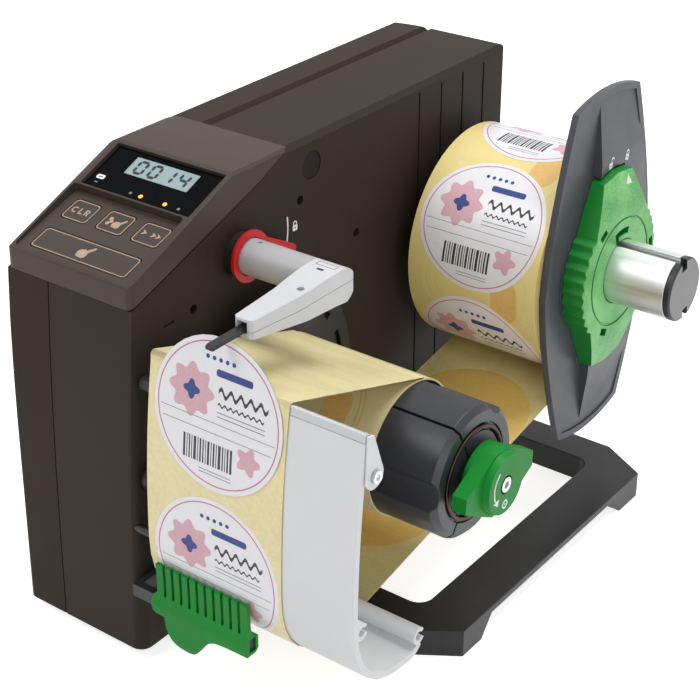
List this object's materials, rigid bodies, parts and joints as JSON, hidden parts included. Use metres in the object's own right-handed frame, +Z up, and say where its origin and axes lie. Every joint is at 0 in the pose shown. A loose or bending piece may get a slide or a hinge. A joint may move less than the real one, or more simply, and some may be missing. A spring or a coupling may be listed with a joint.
{
  "type": "label dispenser machine",
  "caption": "Desktop label dispenser with a sloping keypad, a label roll behind a blade-shaped flange, a curved peeling plate, a sensor arm and a powered rewind drum.",
  "frame": {"origin": "middle of the machine's footprint, on the desk", "axes": "+X out from the side that carries the rollers, +Y from the front to the rear, +Z up"},
  "size_m": [0.2434, 0.361, 0.264],
  "materials": {
    "brown_plastic": "fine grain",
    "wall_plastic": "fine grain",
    "bezel_plastic": "fine grain",
    "key_foil": "printed foil",
    "window_gloss": "gloss",
    "screen_glass": "clear over a grey-green field",
    "amber_lamp": "clear lens",
    "red_plastic": "satin",
    "green_plastic": "satin, finely speckled",
    "drum_plastic": "satin",
    "blade_plastic": "satin",
    "black_plastic": "satin",
    "frame_metal": "satin black paint",
    "satin_aluminium": "satin",
    "plate_aluminium": "light silver anodised",
    "silver_paint": "silver paint",
    "bright_steel": "bright",
    "dark_steel": "dark",
    "spring_wire": "drawn wire",
    "liner_paper": "glazed backing paper",
    "roll_paper": "glazed backing paper",
    "label_paper": "printed label face",
    "cardboard": "plain card",
    "soft_rubber": "matt",
    "circuit_board": "lacquered board"
  },
  "bodies": {
    "housing": {"main_housing": "wall_plastic", "left_cover": "brown_plastic", "sensor_bush": "wall_plastic", "wall_buffer": "black_plastic", "control_bezel": "bezel_plastic", "display_window": "window_gloss", "lcd_screen": "screen_glass", "status_lamps": "amber_lamp", "key_membrane": "key_foil", "dispense_plate": "plate_aluminium", "plate_stud_front": "dark_steel", "plate_stud_rear": "dark_steel", "peel_strip": "satin_aluminium", "support_rod": "dark_steel", "side_bracket": "satin_aluminium", "bracket_screw": "bright_steel", "liner_web": "liner_paper", "peeled_label": "label_paper", "guide_bar": "dark_steel", "foot_frame": "frame_metal", "rubber_foot_front": "soft_rubber", "rubber_foot_rear": "soft_rubber", "rewind_bearing": "black_plastic", "supply_bearing": "black_plastic", "drive_belt": "soft_rubber", "drive_motor": "dark_steel", "control_board": "circuit_board", "power_supply": "dark_steel", "mains_inlet": "black_plastic"},
    "clear_key": {"key_clear": "key_foil"},
    "mode_key": {"key_mode": "key_foil"},
    "advance_key": {"key_advance": "key_foil"},
    "start_key": {"key_start": "key_foil"},
    "rewinder": {"rewind_shaft": "bright_steel", "rewind_pulley": "black_plastic", "rewind_flange": "drum_plastic", "rewind_core": "black_plastic", "wound_liner": "liner_paper", "wire_ring": "spring_wire"},
    "segment_a": {"drum_segment_a": "drum_plastic"},
    "segment_b": {"drum_segment_b": "drum_plastic"},
    "segment_c": {"drum_segment_c": "drum_plastic"},
    "knob": {"rewind_knob": "green_plastic", "knob_screw": "bright_steel"},
    "motor_drive": {"motor_pulley": "black_plastic"},
    "supply": {"supply_axle": "satin_aluminium", "axle_cap": "black_plastic", "roll_core": "cardboard", "label_roll": "roll_paper", "brake_disc": "dark_steel"},
    "blade": {"blade_flange": "blade_plastic"},
    "hub": {"hub_lock": "green_plastic"},
    "tube": {"sensor_tube": "satin_aluminium"},
    "collar": {"sensor_collar": "red_plastic"},
    "arm": {"sensor_arm_upper": "silver_paint", "sensor_arm_lower": "silver_paint", "sensor_probe": "black_plastic", "arm_screw": "dark_steel"},
    "comb": {"comb_guide": "green_plastic"},
    "rocker": {"mains_rocker": "black_plastic"}
  },
  "joints": [
    {"name": "clear_key_press", "type": "slide", "parent": "housing", "child": "clear_key", "axis": [0, -0.3261, 0.9453], "range_m": [-0.0005, 0], "stiffness_N_per_m": 1500, "springref_m": 0.0002},
    {"name": "mode_key_press", "type": "slide", "parent": "housing", "child": "mode_key", "axis": [0, -0.3261, 0.9453], "range_m": [-0.0005, 0], "stiffness_N_per_m": 1500, "springref_m": 0.0002},
    {"name": "advance_key_press", "type": "slide", "parent": "housing", "child": "advance_key", "axis": [0, -0.3261, 0.9453], "range_m": [-0.0005, 0], "stiffness_N_per_m": 1500, "springref_m": 0.0002},
    {"name": "start_key_press", "type": "slide", "parent": "housing", "child": "start_key", "axis": [0, -0.3261, 0.9453], "range_m": [-0.0005, 0], "stiffness_N_per_m": 1500, "springref_m": 0.0002},
    {"name": "rewinder_turn", "type": "hinge", "parent": "housing", "child": "rewinder", "pos_m": [0.03935, -0.06905, 0.1208], "axis": [1, 0, 0], "continuous": true},
    {"name": "knob_turn", "type": "hinge", "parent": "rewinder", "child": "knob", "pos_m": [0.10485, -0.06905, 0.1208], "axis": [1, 0, 0], "range_deg": [-60, 0]},
    {"name": "segment_a_slide", "type": "slide", "parent": "rewinder", "child": "segment_a", "axis": [0, 0.5446, 0.8387], "range_m": [-0.0005, 0]},
    {"name": "segment_b_slide", "type": "slide", "parent": "rewinder", "child": "segment_b", "axis": [0, -0.9986, 0.0523], "range_m": [-0.0005, 0]},
    {"name": "segment_c_slide", "type": "slide", "parent": "rewinder", "child": "segment_c", "axis": [0, 0.454, -0.891], "range_m": [-0.0005, 0]},
    {"name": "motor_turn", "type": "hinge", "parent": "housing", "child": "motor_drive", "pos_m": [-0.08865, -0.00145, 0.075], "axis": [1, 0, 0], "continuous": true},
    {"name": "supply_turn", "type": "hinge", "parent": "housing", "child": "supply", "pos_m": [0.03935, 0.11515, 0.156], "axis": [1, 0, 0], "continuous": true},
    {"name": "blade_slide", "type": "slide", "parent": "supply", "child": "blade", "axis": [1, 0, 0], "range_m": [0, 0.038]},
    {"name": "hub_turn", "type": "hinge", "parent": "blade", "child": "hub", "pos_m": [0.07365, 0.11515, 0.156], "axis": [1, 0, 0], "range_deg": [0, 18]},
    {"name": "tube_slide", "type": "slide", "parent": "housing", "child": "tube", "axis": [1, 0, 0], "range_m": [-0.01, 0.02]},
    {"name": "collar_turn", "type": "hinge", "parent": "housing", "child": "collar", "pos_m": [-0.02835, -0.08565, 0.21], "axis": [1, 0, 0], "range_deg": [0, 35]},
    {"name": "arm_swing", "type": "hinge", "parent": "tube", "child": "arm", "pos_m": [0.02235, -0.08565, 0.21], "axis": [1, 0, 0], "range_deg": [-95, 0]},
    {"name": "comb_slide", "type": "slide", "parent": "housing", "child": "comb", "axis": [1, 0, 0], "range_m": [-0.01, 0.015]},
    {"name": "rocker_tilt", "type": "hinge", "parent": "housing", "child": "rocker", "pos_m": [-0.06465, 0.16955, 0.092], "axis": [1, 0, 0], "range_deg": [0, 8]}
  ],
  "couplings": [
    {"joint": "knob_turn", "follows": "segment_a_slide", "rad_per_m": 2094.4},
    {"joint": "segment_b_slide", "follows": "segment_a_slide", "ratio": 1},
    {"joint": "segment_c_slide", "follows": "segment_a_slide", "ratio": 1},
    {"joint": "motor_turn", "follows": "rewinder_turn", "ratio": 3}
  ]
}
